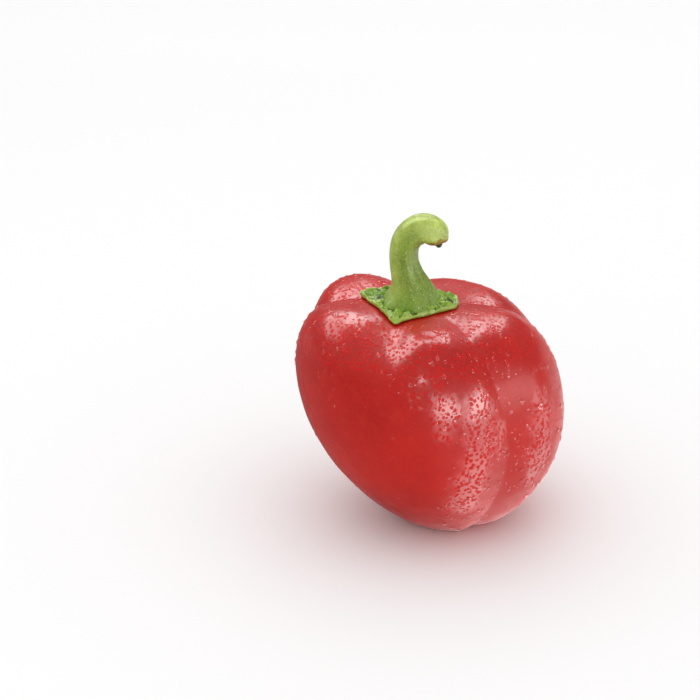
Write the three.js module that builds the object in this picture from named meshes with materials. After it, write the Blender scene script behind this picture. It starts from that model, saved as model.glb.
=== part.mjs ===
// A red bell pepper as picked: a five-lobed fruit that stands on the tips of its lobes,
// with its calyx and its hooked stem.
// Millimetres, +Z up. The origin lies on the surface that the pepper stands on, under the
// middle of its bounding box. The front is the side seen from -Y.
// Azimuths are in degrees, anticlockwise from +X as seen from above.

import * as THREE from "three";

const { degToRad, lerp, smoothstep, euclideanModulo } = THREE.MathUtils;

// ---------------------------------------------------------------- driving dimensions

const GIRTH_RADIUS = 43.8; // axis to the crown of a lobe, where the fruit is widest
const CREST_HEIGHT = 75.5; // the surface to the top of an average shoulder
const LEAN = -0.18; // sideways shift of the axis for each millimetre of height
const CLEARANCE = 0.3; // air between one piece and the next

// ---------------------------------------------------------------- fruit

// The fruit's outline from the calyx seat, over the shoulder and down to the blossom end,
// along the crown of a lobe. Radius is a share of GIRTH_RADIUS, height of CREST_HEIGHT.
// Inset and sink are how far a full groove lies inside and below the crown there, in mm.
const STATIONS = [
  { radius: 0.0, height: 0.99, inset: 0.0, sink: 0.0 },
  { radius: 0.2, height: 0.992, inset: 0.0, sink: 0.2 },
  { radius: 0.4, height: 0.998, inset: 0.0, sink: 1.2 },
  { radius: 0.58, height: 1.004, inset: 0.6, sink: 4.0 },
  { radius: 0.75, height: 0.978, inset: 2.6, sink: 5.0 },
  { radius: 0.9, height: 0.88, inset: 4.4, sink: 2.8 },
  { radius: 0.98, height: 0.745, inset: 4.6, sink: 0.8 },
  { radius: 1.0, height: 0.6, inset: 4.4, sink: 0.0 },
  { radius: 0.965, height: 0.45, inset: 4.2, sink: 0.0 },
  { radius: 0.86, height: 0.292, inset: 4.4, sink: -0.3 },
  { radius: 0.68, height: 0.15, inset: 4.4, sink: -0.8 },
  { radius: 0.49, height: 0.05, inset: 4.0, sink: -1.8 },
  { radius: 0.34, height: 0.004, inset: 2.4, sink: -2.8 },
  { radius: 0.18, height: 0.03, inset: 0.6, sink: -1.4 },
  { radius: 0.0, height: 0.062, inset: 0.0, sink: 0.0 },
];

// The lobes, anticlockwise. Each starts at its groove, whose azimuth is given at the calyx,
// the girth and the foot, with the groove's depth on the shoulder, the side and the foot as a
// share of the stations' own, and how sharply it is creased, from 0 for a soft valley to 1.
// Reach moves the lobe's crown out, and crest and foot move its top and its tip up, in mm.
const LOBES = [
  // front
  { groove: [-111, -108, -104], onShoulder: 1.05, onSide: 0.04, onFoot: 0.04,
    crease: 0, reach: 0, crest: 0.4, foot: -0.9 },
  // front right
  { groove: [-34, -51, -66], onShoulder: 0.5, onSide: 1.1, onFoot: 0.35,
    crease: 0.5, reach: 1.5, crest: -1.0, foot: -0.5 },
  // back right
  { groove: [26, 17, 10], onShoulder: 0.6, onSide: 0.6, onFoot: 0.6,
    crease: 0.5, reach: 4.2, crest: -3.0, foot: -0.7 },
  // back left
  { groove: [93, 95, 92], onShoulder: 1.0, onSide: 0.8, onFoot: 0.8,
    crease: 0.7, reach: 4.4, crest: 0.2, foot: -0.9 },
  // front left, the broadest
  { groove: [161, 160, 158], onShoulder: 0.9, onSide: 0.9, onFoot: 0.9,
    crease: 1, reach: -1.2, crest: 2.0, foot: -0.9 },
];
const SOFT_VALLEY_POWER = 1.3; // the smaller, the wider a soft valley between two lobes
const CREASE_POWER = 2.3; // the larger, the flatter a lobe and the tighter its creases

const FRUIT_ROWS = 44;
const COLUMN_WIDTH = 4.1; // degrees of azimuth between columns of facets, on average
const CROWDING = 0.55; // how strongly the columns gather towards the grooves

// Places on the outline, as a share of the way along it.
const AT_CREST = 0.21;
const AT_SHOULDER = 0.28; // where a groove has turned to the azimuth it keeps down to the girth
const AT_GIRTH = 0.5;
const AT_FOOT = 0.86;
const BLOSSOM_END = 1;

const outline = new THREE.SplineCurve(
  STATIONS.map((s) => new THREE.Vector2(s.radius * GIRTH_RADIUS, s.height * CREST_HEIGHT)),
);
const grooveDepth = new THREE.SplineCurve(
  STATIONS.map((s) => new THREE.Vector2(s.inset, s.sink)),
);

// A lobe by its number, which may run past either end of the list.
const lobeAt = (i) => LOBES[euclideanModulo(i, LOBES.length)];

// The azimuth of groove i at a place on the outline. Numbers past the list turn on round.
function grooveAzimuth(i, place) {
  const [atCalyx, atGirth, atFoot] = lobeAt(i).groove;
  const upper = lerp(atCalyx, atGirth, smoothstep(place, 0, AT_SHOULDER));
  const turns = Math.floor(i / LOBES.length);
  return lerp(upper, atFoot, smoothstep(place, AT_GIRTH, AT_FOOT)) + 360 * turns;
}

// How deep a groove is at a share of the way from the crown of a lobe, 0, to the groove, 1.
function grooveProfile(toGroove, crease) {
  const soft = (1 - Math.cos(Math.PI * toGroove ** SOFT_VALLEY_POWER)) / 2;
  return lerp(soft, toGroove ** CREASE_POWER, crease);
}

// A point of the fruit before it leans. across runs from -1, at the groove that starts lobe i,
// through 0 on its crown to 1 at its other groove.
function fruitPoint(i, across, place) {
  const lobe = lobeAt(i);
  const neighbour = lobeAt(i + Math.sign(across));
  const groove = across < 0 ? lobe : lobeAt(i + 1);
  const toGroove = Math.abs(across);
  const shared = 0.5 * smoothstep(toGroove, 0, 1);
  const blended = (key) => lerp(lobe[key], neighbour[key], shared);

  const crown = outline.getPoint(place);
  const depth = grooveDepth.getPoint(place);
  const share = lerp(groove.onShoulder, groove.onSide, smoothstep(place, AT_CREST, AT_GIRTH));
  const strength = lerp(share, groove.onFoot, smoothstep(place, AT_GIRTH, AT_FOOT))
    * grooveProfile(toGroove, groove.crease);
  const onCrest = smoothstep(place, 0, AT_CREST) * (1 - smoothstep(place, AT_CREST, AT_GIRTH));
  const onFoot = smoothstep(place, AT_GIRTH, AT_FOOT) * (1 - smoothstep(place, AT_FOOT, BLOSSOM_END));

  const radius = crown.x * (1 + blended("reach") / GIRTH_RADIUS) - depth.x * strength;
  const height = crown.y + blended("crest") * onCrest + blended("foot") * onFoot
    - depth.y * strength;
  const start = grooveAzimuth(i, place);
  const end = grooveAzimuth(i + 1, place);
  return { radius, height, azimuth: lerp(start, end, (across + 1) / 2) };
}

// The same point, found by its azimuth.
function fruitPointAt(azimuth, place) {
  let i = 0;
  while (azimuth < grooveAzimuth(i, place)) i -= 1;
  while (azimuth >= grooveAzimuth(i + 1, place)) i += 1;
  const start = grooveAzimuth(i, place);
  const width = grooveAzimuth(i + 1, place) - start;
  return fruitPoint(i, (2 * (azimuth - start)) / width - 1, place);
}

// Height of the fruit's top at a radius and azimuth under the calyx, found by halving.
function seatHeight(radius, azimuth) {
  let inner = 0;
  let outer = AT_CREST;
  for (let step = 0; step < 24; step += 1) {
    const middle = (inner + outer) / 2;
    if (fruitPointAt(azimuth, middle).radius < radius) inner = middle;
    else outer = middle;
  }
  return fruitPointAt(azimuth, inner).height;
}

// The place in space of a radius, height and azimuth about the leaning axis.
function leaning({ radius, height, azimuth }) {
  const angle = degToRad(azimuth);
  return new THREE.Vector3(
    radius * Math.cos(angle) + LEAN * height,
    radius * Math.sin(angle),
    height,
  );
}

// A closed lathe whose vertices are then moved: pointAt(column, row) gives each one's place,
// with row 0 on the axis below and the last row on the axis above.
function movedLathe(columns, rows, pointAt) {
  const profile = [];
  for (let row = 0; row <= rows; row += 1) {
    profile.push(new THREE.Vector2(Math.sin((Math.PI * row) / rows), row));
  }
  const geometry = new THREE.LatheGeometry(profile, columns);
  const position = geometry.getAttribute("position");
  for (let column = 0; column <= columns; column += 1) {
    for (let row = 0; row <= rows; row += 1) {
      const { x, y, z } = pointAt(column % columns, row);
      position.setXYZ(column * (rows + 1) + row, x, y, z);
    }
  }
  geometry.computeVertexNormals();
  return geometry;
}

function makeFruit() {
  const columns = [];
  LOBES.forEach((lobe, i) => {
    const width = grooveAzimuth(i + 1, AT_GIRTH) - grooveAzimuth(i, AT_GIRTH);
    const count = 2 * Math.round(width / COLUMN_WIDTH / 2);
    for (let k = 0; k < count; k += 1) {
      const even = (2 * k) / count - 1;
      columns.push({ i, across: lerp(even, Math.sin((even * Math.PI) / 2), CROWDING) });
    }
  });
  return movedLathe(columns.length, FRUIT_ROWS, (column, row) => {
    const { i, across } = columns[column];
    const point = fruitPoint(i, across, 1 - row / FRUIT_ROWS);
    point.height = Math.max(point.height, 0); // the lobes' tips are pressed flat where they stand
    return leaning(point);
  });
}

// ---------------------------------------------------------------- calyx

// The corners of the calyx, anticlockwise: azimuth and distance from the stem's middle.
const CALYX_CORNERS = [
  { azimuth: -110, reach: 18.4 },
  { azimuth: -5, reach: 15.6 },
  { azimuth: 30, reach: 17.6 },
  { azimuth: 95, reach: 17 },
  { azimuth: 155, reach: 19.2 },
];
const CALYX_RIM = 1.1; // thickness at the rim
const CALYX_MIDDLE = 2.6; // thickness under the stem
const CALYX_COLUMNS = 72; // so that every corner falls on a column
const CALYX_ROWS = 7; // from the middle to the rim, below and above

const STEM_FOOT_RADIUS = 9.4;

// Radius of the calyx's edge, which runs straight from corner to corner.
function calyxEdge(azimuth) {
  const corners = CALYX_CORNERS.map(({ azimuth: a, reach }) => ({
    angle: degToRad(a),
    x: reach * Math.cos(degToRad(a)),
    y: reach * Math.sin(degToRad(a)),
  }));
  const angle = degToRad(azimuth);
  const full = 2 * Math.PI;
  const from = corners.findLastIndex(
    (c) => euclideanModulo(angle - corners[0].angle, full) >= c.angle - corners[0].angle,
  );
  const a = corners[from];
  const b = corners[(from + 1) % corners.length];
  const across = { x: b.x - a.x, y: b.y - a.y };
  return (a.x * across.y - a.y * across.x)
    / (Math.cos(angle) * across.y - Math.sin(angle) * across.x);
}

const seatTop = seatHeight(0, 0) + CLEARANCE + CALYX_MIDDLE;

function makeCalyx() {
  return movedLathe(CALYX_COLUMNS, 2 * CALYX_ROWS + 1, (column, row) => {
    const azimuth = (360 * column) / CALYX_COLUMNS + CALYX_CORNERS[0].azimuth;
    const above = row > CALYX_ROWS;
    const outward = (above ? 2 * CALYX_ROWS + 1 - row : row) / CALYX_ROWS;
    const radius = outward * calyxEdge(azimuth);
    const under = seatHeight(radius, azimuth) + CLEARANCE;
    const offStem = smoothstep(radius, STEM_FOOT_RADIUS, calyxEdge(azimuth));
    const height = above ? lerp(seatTop, under + CALYX_RIM, offStem) : under;
    return leaning({ radius, height, azimuth });
  });
}

// ---------------------------------------------------------------- stem

// The stem's middle line and radius: up from its flared foot, then over in a hook to the cut end.
const stemFoot = leaning({ radius: 0, height: seatTop + CLEARANCE, azimuth: 0 });
const STEM_STATIONS = [
  { right: 0.0, up: 0.0, radius: STEM_FOOT_RADIUS },
  { right: 0.0, up: 2.2, radius: 8.2 },
  { right: -0.4, up: 4.8, radius: 6.7 },
  { right: -1.4, up: 8.4, radius: 5.5 },
  { right: -2.3, up: 12.2, radius: 4.95 },
  { right: -2.6, up: 16.3, radius: 4.8 },
  { right: -1.9, up: 20.1, radius: 4.8 },
  { right: 0.2, up: 23.1, radius: 4.9 },
  { right: 3.1, up: 24.6, radius: 5.1 },
  { right: 6.0, up: 24.2, radius: 5.1 },
  { right: 7.9, up: 22.5, radius: 4.8 },
  { right: 8.3, up: 20.4, radius: 3.9 },
];
const STEM_SIDES = 20;
const STEM_STEPS = 44;
const STEM_RIBS = 5;
const RIB_SHARE = 0.035; // how far a rib stands out, as a share of the stem's radius

function makeStem() {
  const middle = new THREE.CatmullRomCurve3(
    STEM_STATIONS.map((s) => new THREE.Vector3(stemFoot.x + s.right, 0, stemFoot.z + s.up)),
  );
  const thickness = new THREE.SplineCurve(
    STEM_STATIONS.map((s, i) => new THREE.Vector2(i, s.radius)),
  );
  const towardsBack = new THREE.Vector3(0, 1, 0);
  const geometry = new THREE.CylinderGeometry(1, 1, 1, STEM_SIDES, STEM_STEPS);
  const position = geometry.getAttribute("position");
  const vertex = new THREE.Vector3();
  for (let k = 0; k < position.count; k += 1) {
    vertex.fromBufferAttribute(position, k);
    const along = vertex.y + 0.5;
    const tangent = along > 0 ? middle.getTangent(along) : new THREE.Vector3(0, 0, 1);
    const outward = towardsBack.clone().cross(tangent).normalize();
    const angle = Math.atan2(vertex.x, vertex.z);
    const radius = thickness.getPoint(along).y * (1 + RIB_SHARE * Math.cos(STEM_RIBS * angle));
    const point = middle.getPoint(along)
      .addScaledVector(outward, radius * vertex.z)
      .addScaledVector(towardsBack, radius * vertex.x);
    position.setXYZ(k, point.x, point.y, point.z);
  }
  geometry.computeVertexNormals();
  return geometry;
}

// ---------------------------------------------------------------- assembly

const SKIN = { color: 0xb3241f, roughness: 0.28, metalness: 0 };
const CALYX_GREEN = { color: 0x5d8f2b, roughness: 0.5, metalness: 0 };
const STEM_GREEN = { color: 0x7c9a35, roughness: 0.45, metalness: 0 };

function piece(name, geometry, finish) {
  const mesh = new THREE.Mesh(geometry, new THREE.MeshStandardMaterial(finish));
  mesh.name = name;
  return mesh;
}

const pepper = new THREE.Group();
pepper.add(piece("fruit", makeFruit(), SKIN));
pepper.add(piece("calyx", makeCalyx(), CALYX_GREEN));
pepper.add(piece("stem", makeStem(), STEM_GREEN));

const middle = new THREE.Box3().setFromObject(pepper).getCenter(new THREE.Vector3());
pepper.position.set(-middle.x, -middle.y, 0);

export default pepper;
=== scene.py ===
import math

import bmesh
import bpy
import numpy as np
from mathutils import Matrix, Vector, noise
from mathutils.bvhtree import BVHTree


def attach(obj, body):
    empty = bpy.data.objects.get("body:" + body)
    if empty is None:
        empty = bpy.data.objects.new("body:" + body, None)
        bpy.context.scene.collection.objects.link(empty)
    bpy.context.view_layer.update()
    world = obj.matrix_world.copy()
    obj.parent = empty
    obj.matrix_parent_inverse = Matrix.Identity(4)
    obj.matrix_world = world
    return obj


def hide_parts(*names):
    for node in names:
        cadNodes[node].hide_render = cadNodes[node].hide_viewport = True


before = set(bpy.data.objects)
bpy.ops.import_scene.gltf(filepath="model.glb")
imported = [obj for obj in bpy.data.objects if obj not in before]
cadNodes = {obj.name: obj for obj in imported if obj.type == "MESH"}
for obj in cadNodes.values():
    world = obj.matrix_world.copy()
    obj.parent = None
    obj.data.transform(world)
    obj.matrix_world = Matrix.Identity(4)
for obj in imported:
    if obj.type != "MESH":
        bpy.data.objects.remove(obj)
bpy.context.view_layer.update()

mm = 0.001


# small makers that every tree below is written with
def addNode(tree, kind, inputs=None, **settings):
    node = tree.nodes.new(kind)
    for name, value in settings.items():
        setattr(node, name, value)
    for key, value in (inputs or {}).items():
        if isinstance(value, bpy.types.NodeSocket):
            tree.links.new(value, node.inputs[key])
        else:
            node.inputs[key].default_value = value
    return node


def maths(tree, operation, *values, clamp=False):
    inputs = dict(enumerate(values))
    return addNode(tree, "ShaderNodeMath", inputs, operation=operation, use_clamp=clamp).outputs[0]


def vectorMaths(tree, operation, *values, scale=None):
    inputs = dict(enumerate(values))
    if scale is not None:
        inputs["Scale"] = scale
    node = addNode(tree, "ShaderNodeVectorMath", inputs, operation=operation)
    return node.outputs["Value" if operation in ("DOT_PRODUCT", "LENGTH", "DISTANCE") else "Vector"]


def remap(tree, value, low, high, newLow=0.0, newHigh=1.0, kind="SMOOTHSTEP"):
    inputs = {"Value": value, "From Min": low, "From Max": high, "To Min": newLow, "To Max": newHigh}
    return addNode(tree, "ShaderNodeMapRange", inputs, interpolation_type=kind).outputs["Result"]


# a Mix node's sockets 6 and 7 are its two colours
def mixColours(tree, amount, first, second, blend="MIX"):
    inputs = {0: amount, 6: first, 7: second}
    return addNode(tree, "ShaderNodeMix", inputs, data_type="RGBA", blend_type=blend).outputs[2]


def colour(red, green, blue):
    return (red, green, blue, 1.0)


# a node group with named inputs and outputs
# going in: {name: (kind of socket, value)}, coming out: {name: kind of socket}
def newGroup(name, treeKind, going, coming):
    tree = bpy.data.node_groups.new(name, treeKind)
    for socketName, (kind, value) in going.items():
        socket = tree.interface.new_socket(socketName, in_out="INPUT", socket_type="NodeSocket" + kind)
        if value is not None:
            socket.default_value = value
    for socketName, kind in coming.items():
        tree.interface.new_socket(socketName, in_out="OUTPUT", socket_type="NodeSocket" + kind)
    return tree, tree.nodes.new("NodeGroupInput").outputs, tree.nodes.new("NodeGroupOutput")


def placeGroup(tree, group, **inputs):
    return addNode(tree, "ShaderNodeGroup", inputs, node_tree=group).outputs


# runs a geometry tree on an object and keeps the result as a plain mesh
def applyTree(obj, tree, values):
    modifier = obj.modifiers.new(tree.name, "NODES")
    modifier.node_group = tree
    for socket in tree.interface.items_tree:
        if socket.in_out == "INPUT" and socket.name in values:
            modifier[socket.identifier] = values[socket.name]
    depsgraph = bpy.context.evaluated_depsgraph_get()
    mesh = bpy.data.meshes.new_from_object(obj.evaluated_get(depsgraph), depsgraph=depsgraph)
    obj.modifiers.clear()
    obj.data = mesh


def newObject(name, mesh):
    obj = bpy.data.objects.new(name, mesh)
    bpy.context.scene.collection.objects.link(obj)
    return obj


def newMaterial(name):
    material = bpy.data.materials.new(name)
    material.use_nodes = True
    tree = material.node_tree
    return material, tree, tree.nodes["Principled BSDF"]


copyDesign = {
    "merge": 0.01 * mm,  # vertices nearer than this are made one
    "bend": math.radians(50),  # two triangles that meet flatter than this become a quad
    "skew": math.radians(70),  # if its corners are no further than this from square
}


# a merged copy of a CAD node's mesh with its triangles joined back to quads
# prepare notes things on it, or shapes it, before they are joined
def copyOfNode(nodeName, pieceName, prepare=None):
    bm = bmesh.new()
    bm.from_mesh(cadNodes[nodeName].data)
    bmesh.ops.remove_doubles(bm, verts=bm.verts, dist=copyDesign["merge"])
    bmesh.ops.recalc_face_normals(bm, faces=bm.faces)
    if prepare:
        prepare(bm)
    bmesh.ops.join_triangles(
        bm, faces=bm.faces,
        angle_face_threshold=copyDesign["bend"], angle_shape_threshold=copyDesign["skew"])
    bmesh.ops.recalc_face_normals(bm, faces=bm.faces)
    mesh = bpy.data.meshes.new(pieceName)
    bm.to_mesh(mesh)
    bm.free()
    return newObject(pieceName, mesh)


# reads an attribute in a geometry tree
def attribute(tree, name):
    node = addNode(tree, "GeometryNodeInputNamedAttribute", {"Name": name}, data_type="FLOAT")
    return node.outputs[0]


# reads an attribute in a material
def readAttribute(tree, name):
    node = addNode(tree, "ShaderNodeAttribute", attribute_type="GEOMETRY", attribute_name=name)
    return node.outputs["Fac"]


def storeAttribute(tree, geometry, name, value):
    node = addNode(tree, "GeometryNodeStoreNamedAttribute", {
        "Geometry": geometry, "Name": name, "Value": value}, data_type="FLOAT", domain="POINT")
    return node.outputs[0]


def noiseAt(tree, place, size, seed=0.0, detail=1.0):
    return addNode(tree, "ShaderNodeTexNoise", {
        "Vector": place, "W": seed, "Scale": maths(tree, "DIVIDE", 1.0, size), "Detail": detail,
    }, noise_dimensions="4D")


# noise from -0.5 to 0.5 times an amount
def wave(tree, place, size, amount, seed=0.0, detail=1.0):
    swing = maths(tree, "SUBTRACT", noiseAt(tree, place, size, seed, detail).outputs["Fac"], 0.5)
    return maths(tree, "MULTIPLY", swing, amount)


# the last steps of every piece's tree
def finishTree(tree, geometry, going, coming):
    smooth = addNode(tree, "GeometryNodeSetShadeSmooth", {"Geometry": geometry}).outputs[0]
    whole = addNode(tree, "GeometryNodeRealizeInstances", {"Geometry": smooth}).outputs[0]
    painted = addNode(tree, "GeometryNodeSetMaterial", {
        "Geometry": whole, "Material": going["Material"]})
    tree.links.new(painted.outputs[0], coming.inputs["Geometry"])


# the camera stands in front of the pepper and a little above it, with a long lens

viewDesign = {
    "elevation": 24.0,  # degrees above the horizon
    "lens": 165.0,
    "sensor": 36.0,
    "width": 235.4 * mm,  # across the view, at the pepper
    "heightOnAxis": 39.8 * mm,  # the point of the pepper's middle line that the view is set out from
    "right": 26.8 * mm,  # how far that point stands right of the view's middle
    "down": 17.15 * mm,  # and how far below it
}


def addCamera():
    elevation = math.radians(viewDesign["elevation"])
    towardsEye = Vector((0, -math.cos(elevation), math.sin(elevation)))
    upwards = Vector((0, math.sin(elevation), math.cos(elevation)))
    aim = Vector((-viewDesign["right"], 0, viewDesign["heightOnAxis"])) + upwards * viewDesign["down"]
    data = bpy.data.cameras.new("camera")
    data.sensor_width = viewDesign["sensor"]
    data.lens = viewDesign["lens"]
    distance = viewDesign["width"] * data.lens / data.sensor_width
    camera = newObject("camera", data)
    camera.location = aim + towardsEye * distance
    camera.rotation_mode = "QUATERNION"
    camera.rotation_quaternion = (-towardsEye).to_track_quat("-Z", "Y")
    bpy.context.scene.camera = camera


addCamera()
print("camera set")


# two effects that several finishes share, built once and placed with values of their own

mottleDesign = {
    "fineShare": 6.0,  # how many times finer the fine drift is than the broad one
    "detail": 3.0,
    "gain": 2.4,
}
mistDesign = {
    "patchSize": 20 * mm,  # width of the patches that the beads lie in
    "patchEdge": 0.12,
    "doming": 0.6,  # the lower, the flatter the tops
}


# slow drifts of tone over a surface, from 0 to 1, with a finer grain beside them
def makeMottle():
    tree, going, coming = newGroup(
        "mottle", "ShaderNodeTree",
        {"Size": ("Float", 0.01), "Contrast": ("Float", 1.0), "Seed": ("Float", 0.0)},
        {"Broad": "Float", "Fine": "Float"})
    place = addNode(tree, "ShaderNodeTexCoord").outputs["Object"]
    for name, share in (("Broad", 1.0), ("Fine", mottleDesign["fineShare"])):
        size = maths(tree, "DIVIDE", going["Size"], share)
        spread = wave(tree, place, size, going["Contrast"], going["Seed"], mottleDesign["detail"])
        drift = maths(tree, "MULTIPLY_ADD", spread, mottleDesign["gain"], 0.5, clamp=True)
        tree.links.new(drift, coming.inputs[name])
    return tree


# beads too fine to model: a height for Bump and a mask of where they lie
def makeMist():
    tree, going, coming = newGroup(
        "mist", "ShaderNodeTree",
        {"Spacing": ("Float", 0.001), "Cover": ("Float", 0.6), "Smallest": ("Float", 0.1),
         "Largest": ("Float", 0.45), "Seed": ("Float", 0.0)},
        {"Height": "Float", "Mask": "Float"})
    place = addNode(tree, "ShaderNodeTexCoord").outputs["Object"]
    patches = noiseAt(tree, place, mistDesign["patchSize"], going["Seed"], 2.0).outputs["Fac"]
    edge = maths(tree, "MULTIPLY_ADD", going["Cover"], -0.75, 0.95)  # the more cover, the lower it is
    where = remap(tree, patches, maths(tree, "SUBTRACT", edge, mistDesign["patchEdge"]),
                  maths(tree, "ADD", edge, mistDesign["patchEdge"]))
    beads = addNode(tree, "ShaderNodeTexVoronoi", {
        "Vector": place, "Scale": maths(tree, "DIVIDE", 1.0, going["Spacing"]), "Randomness": 1.0,
    }, feature="F1")
    own = addNode(tree, "ShaderNodeSeparateColor", {"Color": beads.outputs["Color"]}).outputs[0]
    # each bead's radius, as a share of the spacing
    reach = remap(tree, own, 0.0, 1.0, going["Smallest"], going["Largest"], "LINEAR")
    fromMiddle = maths(tree, "DIVIDE", beads.outputs["Distance"], reach)
    dome = maths(tree, "SUBTRACT", 1.0, fromMiddle, clamp=True)
    height = maths(tree, "MULTIPLY", maths(tree, "POWER", dome, mistDesign["doming"]), where)
    tree.links.new(height, coming.inputs["Height"])
    tree.links.new(maths(tree, "MULTIPLY", remap(tree, dome, 0.0, 0.2), where), coming.inputs["Mask"])
    return tree


mottle = makeMottle()
mist = makeMist()


# the fruit is the CAD fruit's own shape, refined, with the slow waviness of a grown skin

fruitDesign = {
    "Levels": 2,  # each halves the CAD mesh's facets
    "Swell": 0.55 * mm,  # height of the slow waves in the skin
    "Swell Size": 15 * mm,
    "Pucker": 0.12 * mm,  # height of the small waves
    "Pucker Size": 6 * mm,
    "Seed": 4.0,
    "standing": (1 * mm, 9 * mm),  # the waves begin over this span of height, above the tips
}
skinDesign = {
    "deep": colour(0.41, 0.008, 0.006),
    "bright": colour(0.545, 0.015, 0.009),
    "flush": colour(0.62, 0.055, 0.022),  # where the skin runs a little to orange
    "flushMost": 0.1,
    "underBead": colour(0.60, 0.008, 0.005),
    "underBeadMost": 0.6,
    "drift": {"Size": 24 * mm, "Contrast": 1.1, "Seed": 2.0},
    "grain": {"Size": 4.5 * mm, "Contrast": 0.9, "Seed": 7.0},
    "grainTone": (0.88, 1.08),
    "roughness": (0.40, 0.54),
    "bumpDepth": 0.2 * mm,
    "coatRoughness": 0.21,
    "dryCoat": 0.13,  # gloss of the skin where no mist lies
    "beadCoat": 0.05,  # and under a bead
    "edgeCoat": 0.12,  # and where the skin turns away
    "edgeSpan": (0.38, 0.82),
    "beads": {"Spacing": 2.6 * mm, "Cover": 0.9, "Smallest": 0.06, "Largest": 0.38, "Seed": 1.0},
    "dust": {"Spacing": 1.25 * mm, "Cover": 1.0, "Smallest": 0.28, "Largest": 0.66, "Seed": 5.0},
    "wetSpan": (0.15, 0.5),  # the beads show over this span of the mist's thickness
    "ragged": 9 * mm,  # how far the patches' edges wander
    "shoulders": (61 * mm, 71 * mm),  # the mist on top begins over this span of height
    "runSize": 8.5 * mm,  # width of the runs in it
    # the patches of thick mist, drawn out down the lobes: from, to and reach in mm, and how thick
    "patches": (
        ((4.4, -42.9, 58.6), (3.5, -44.5, 50.2), 4.0, 1.0),
        ((15.9, -37.6, 58.6), (15.7, -41.2, 41.4), 6.0, 1.0),
        ((15.7, -41.2, 41.4), (10.3, -36.7, 19.2), 5.5, 1.0),
        ((22.4, -34.3, 47.0), (22.2, -35.4, 36.8), 2.2, 0.9),
        ((36.6, -23.8, 48.6), (35.0, -24.5, 25.5), 5.0, 0.9),
        ((-5.5, -39.0, 66.6), (-2.0, -41.5, 63.5), 6.0, 1.0),
        ((41.0, 9.0, 56.0), (42.0, 6.0, 34.0), 6.0, 0.8),
        ((12.0, 40.0, 58.0), (9.0, 41.0, 36.0), 6.0, 0.9),
        ((-27.0, 33.0, 60.0), (-25.0, 33.0, 44.0), 5.0, 0.8),
    ),
}


def makeSkinRelief():
    tree, going, coming = newGroup(
        "skinRelief", "GeometryNodeTree",
        {"Geometry": ("Geometry", None), "Levels": ("Int", 2), "Swell": ("Float", 0.0),
         "Swell Size": ("Float", 0.02), "Pucker": ("Float", 0.0), "Pucker Size": ("Float", 0.005),
         "Seed": ("Float", 0.0), "Material": ("Material", None)},
        {"Geometry": "Geometry"})
    refined = addNode(tree, "GeometryNodeSubdivisionSurface", {
        "Mesh": going["Geometry"], "Level": going["Levels"]}).outputs["Mesh"]
    place = addNode(tree, "GeometryNodeInputPosition").outputs[0]
    normal = addNode(tree, "GeometryNodeInputNormal").outputs[0]
    height = maths(
        tree, "ADD", wave(tree, place, going["Swell Size"], going["Swell"], going["Seed"]),
        wave(tree, place, going["Pucker Size"], going["Pucker"], going["Seed"]))
    level = addNode(tree, "ShaderNodeSeparateXYZ", {0: place}).outputs["Z"]
    height = maths(tree, "MULTIPLY", height, remap(tree, level, *fruitDesign["standing"]))
    moved = addNode(tree, "GeometryNodeSetPosition", {
        "Geometry": refined, "Offset": vectorMaths(tree, "SCALE", normal, scale=height)}).outputs[0]
    # nothing dips under the ground that the tips stand on
    standing = vectorMaths(tree, "MAXIMUM", place, (-1.0, -1.0, 0.0))
    settled = addNode(tree, "GeometryNodeSetPosition", {
        "Geometry": moved, "Position": standing}).outputs[0]
    finishTree(tree, settled, going, coming)
    return tree


# how far a place is from the line between two others
def farFromLine(tree, place, start, end):
    span = end - start
    offset = vectorMaths(tree, "SUBTRACT", place, tuple(start))
    along = vectorMaths(tree, "DOT_PRODUCT", offset, tuple(span))
    share = maths(tree, "DIVIDE", along, span.length_squared, clamp=True)
    onLine = vectorMaths(tree, "SCALE", tuple(span), scale=share)
    return vectorMaths(tree, "DISTANCE", offset, onLine)


# how thick the mist lies on the skin, from 0 to 1
def makeMistMap():
    tree, going, coming = newGroup(
        "mistMap", "ShaderNodeTree", {"Ragged": ("Float", 0.005)}, {"Thick": "Float"})
    place = addNode(tree, "ShaderNodeTexCoord").outputs["Object"]
    drawnOut = vectorMaths(tree, "MULTIPLY", place, (1.0, 1.0, 0.4))
    runs = noiseAt(tree, drawnOut, skinDesign["runSize"], 3.0, 2.0).outputs["Fac"]
    level = addNode(tree, "ShaderNodeSeparateXYZ", {0: place}).outputs["Z"]
    thick = maths(tree, "MULTIPLY", remap(tree, level, *skinDesign["shoulders"]),
                  remap(tree, runs, 0.36, 0.56, 0.5, 1.0))
    edge = wave(tree, place, 4 * mm, going["Ragged"], 9.0, 2.0)
    # each patch is full near its line and fades out past its reach
    for start, end, reach, most in skinDesign["patches"]:
        far = maths(tree, "ADD", farFromLine(tree, place, Vector(start) * mm, Vector(end) * mm), edge)
        patch = remap(tree, far, reach * 1.5 * mm, reach * 0.4 * mm, 0.0, most)
        thick = maths(tree, "MAXIMUM", thick, patch)
    tree.links.new(thick, coming.inputs["Thick"])
    return tree


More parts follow.
